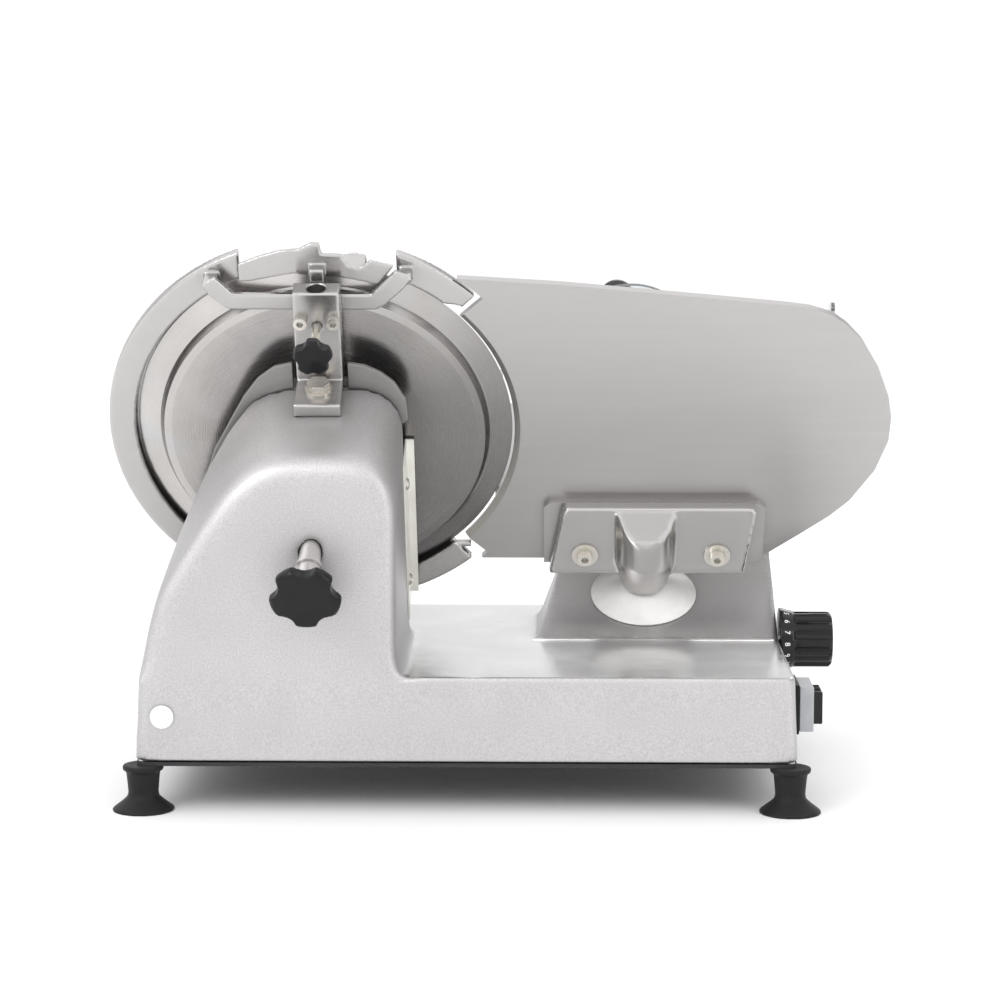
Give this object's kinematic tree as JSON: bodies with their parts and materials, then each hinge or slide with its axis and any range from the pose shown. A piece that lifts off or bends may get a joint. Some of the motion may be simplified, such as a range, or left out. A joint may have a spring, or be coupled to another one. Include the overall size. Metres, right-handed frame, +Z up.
{
  "type": "deli meat slicer",
  "caption": "Gravity-feed slicer with a tilted round blade in a guard ring, thickness plate, sliding food carriage and cast base.",
  "frame": {"origin": "on the floor under the centre of the machine box", "axes": "+Z up, +Y towards the food side, +X towards the operator end with dial and switch"},
  "size_m": [0.5209, 0.3948, 0.3588],
  "materials": {
    "cast_aluminium": "sandblasted and lacquered",
    "polished_steel": "polished",
    "anodised_plate": "satin",
    "zinc_fastener": "zinc plated",
    "black_plastic": "moulded",
    "black_rubber": "matte",
    "white_nylon": "matte",
    "cream_sheet": "satin",
    "clear_plastic": "clear",
    "grey_plastic": "matte",
    "black_sheet": "satin",
    "abrasive": "rough",
    "belt_rubber": "matte",
    "white_label": "smooth"
  },
  "bodies": {
    "base": {"base_housing": "cast_aluminium", "blade_cover": "polished_steel", "bottom_plate": "black_sheet", "bracket_bolt": "zinc_fastener", "bracket_screws": "zinc_fastener", "carriage_rail": "polished_steel", "cord_gland": "black_plastic", "deflector_screws": "zinc_fastener", "dial_bush": "white_nylon", "drive_belt": "belt_rubber", "foot_studs": "zinc_fastener", "gauge_guide_rod": "polished_steel", "guard_ring": "anodised_plate", "motor_case": "black_sheet", "motor_stator": "black_sheet", "rating_label": "white_label", "run_capacitor": "grey_plastic", "shaft_bearings": "polished_steel", "sharpener_bracket": "anodised_plate", "slice_deflector": "cream_sheet", "suction_feet": "black_rubber", "switch_gasket": "black_rubber", "switch_housing": "grey_plastic", "tower_plate": "black_sheet"},
    "blade": {"blade": "polished_steel", "blade_shaft": "polished_steel", "blade_screws": "zinc_fastener", "blade_pulley": "cast_aluminium"},
    "motor": {"motor_rotor": "polished_steel"},
    "cover_rod": {"tie_rod": "polished_steel", "cover_knob": "black_plastic"},
    "clamp": {"clamp_stud": "zinc_fastener", "clamp_knob": "black_plastic"},
    "sharpener": {"sharpener_hood": "anodised_plate"},
    "grinding_wheel": {"grinding_stone": "abrasive"},
    "deburring_wheel": {"deburring_stone": "abrasive"},
    "grinding_push": {"grinding_button": "polished_steel"},
    "deburring_push": {"deburring_button": "polished_steel"},
    "gauge": {"gauge_plate": "anodised_plate", "gauge_bracket": "cast_aluminium", "gauge_screws": "zinc_fastener", "dust_dish": "white_nylon", "gauge_slide": "cast_aluminium"},
    "dial": {"dial_knob": "black_plastic", "dial_shaft": "polished_steel"},
    "start": {"start_button": "black_plastic"},
    "stop": {"stop_button": "black_plastic"},
    "carriage": {"carriage_bushes": "white_nylon", "carriage_arm": "cast_aluminium", "food_tray": "anodised_plate", "tray_end_wall": "anodised_plate", "hand_guard": "clear_plastic", "carriage_grip": "black_plastic", "pusher_rod": "polished_steel"},
    "pusher_slider": {"pusher_collar": "polished_steel"},
    "pusher": {"pusher_arm": "cast_aluminium", "pusher_plate": "anodised_plate", "pusher_shield": "clear_plastic", "pusher_handle": "black_plastic"},
    "tray_lock": {"lock_knob": "black_plastic"}
  },
  "joints": [
    {"name": "blade_spin", "type": "hinge", "parent": "base", "child": "blade", "pos_m": [-0.11575, -0.01703, 0.2335], "axis": [0, -0.8829, -0.4695], "continuous": true},
    {"name": "motor_spin", "type": "hinge", "parent": "base", "child": "motor", "pos_m": [-0.11575, -0.06542, 0.1115], "axis": [0, -0.8829, -0.4695], "continuous": true},
    {"name": "cover_knob_turn", "type": "hinge", "parent": "base", "child": "cover_rod", "pos_m": [-0.11575, -0.14947, 0.16308], "axis": [0, -0.8829, -0.4695], "range_deg": [0, 720]},
    {"name": "clamp_knob_turn", "type": "hinge", "parent": "base", "child": "clamp", "pos_m": [-0.11475, -0.11649, 0.29274], "axis": [0, -0.8829, -0.4695], "range_deg": [0, 360]},
    {"name": "sharpener_lift", "type": "slide", "parent": "base", "child": "sharpener", "axis": [0, -0.4695, 0.8829], "range_m": [0, 0.01]},
    {"name": "grinding_press", "type": "slide", "parent": "sharpener", "child": "grinding_push", "axis": [0, -0.8829, -0.4695], "range_m": [0, 0.0035], "stiffness_N_per_m": 400, "springref_m": -0.002},
    {"name": "deburring_press", "type": "slide", "parent": "sharpener", "child": "deburring_push", "axis": [0, -0.8829, -0.4695], "range_m": [0, 0.0035], "stiffness_N_per_m": 400, "springref_m": -0.002},
    {"name": "grinding_spin", "type": "hinge", "parent": "grinding_push", "child": "grinding_wheel", "pos_m": [-0.13775, -0.06666, 0.33962], "axis": [0, -0.8829, -0.4695], "continuous": true},
    {"name": "deburring_spin", "type": "hinge", "parent": "deburring_push", "child": "deburring_wheel", "pos_m": [-0.09375, -0.06666, 0.33962], "axis": [0, -0.8829, -0.4695], "continuous": true},
    {"name": "gauge_slide", "type": "slide", "parent": "base", "child": "gauge", "axis": [0, -0.8829, -0.4695], "range_m": [0, 0.012]},
    {"name": "dial_turn", "type": "hinge", "parent": "base", "child": "dial", "pos_m": [0.19175, 0.01347, 0.084], "axis": [1, 0, 0], "range_deg": [0, 331]},
    {"name": "start_press", "type": "slide", "parent": "base", "child": "start", "axis": [-1, 0, 0], "range_m": [0, 0.002], "stiffness_N_per_m": 500, "springref_m": -0.002},
    {"name": "stop_press", "type": "slide", "parent": "base", "child": "stop", "axis": [-1, 0, 0], "range_m": [0, 0.002], "stiffness_N_per_m": 500, "springref_m": -0.002},
    {"name": "carriage_travel", "type": "slide", "parent": "base", "child": "carriage", "axis": [-1, 0, 0], "range_m": [0, 0.24]},
    {"name": "pusher_travel", "type": "slide", "parent": "carriage", "child": "pusher_slider", "axis": [0, -0.8829, -0.4695], "range_m": [-0.07, 0.028]},
    {"name": "pusher_swing", "type": "hinge", "parent": "pusher_slider", "child": "pusher", "pos_m": [0.20525, 0.08177, 0.21808], "axis": [0, 0.8829, 0.4695], "range_deg": [0, 90]},
    {"name": "tray_lock_turn", "type": "hinge", "parent": "carriage", "child": "tray_lock", "pos_m": [0.10575, 0.12724, 0.17091], "axis": [0, 0.4695, -0.8829], "range_deg": [0, 360]}
  ],
  "couplings": [
    {"joint": "motor_spin", "follows": "blade_spin", "ratio": 4.4444},
    {"joint": "dial_turn", "follows": "gauge_slide", "rad_per_m": 480}
  ]
}
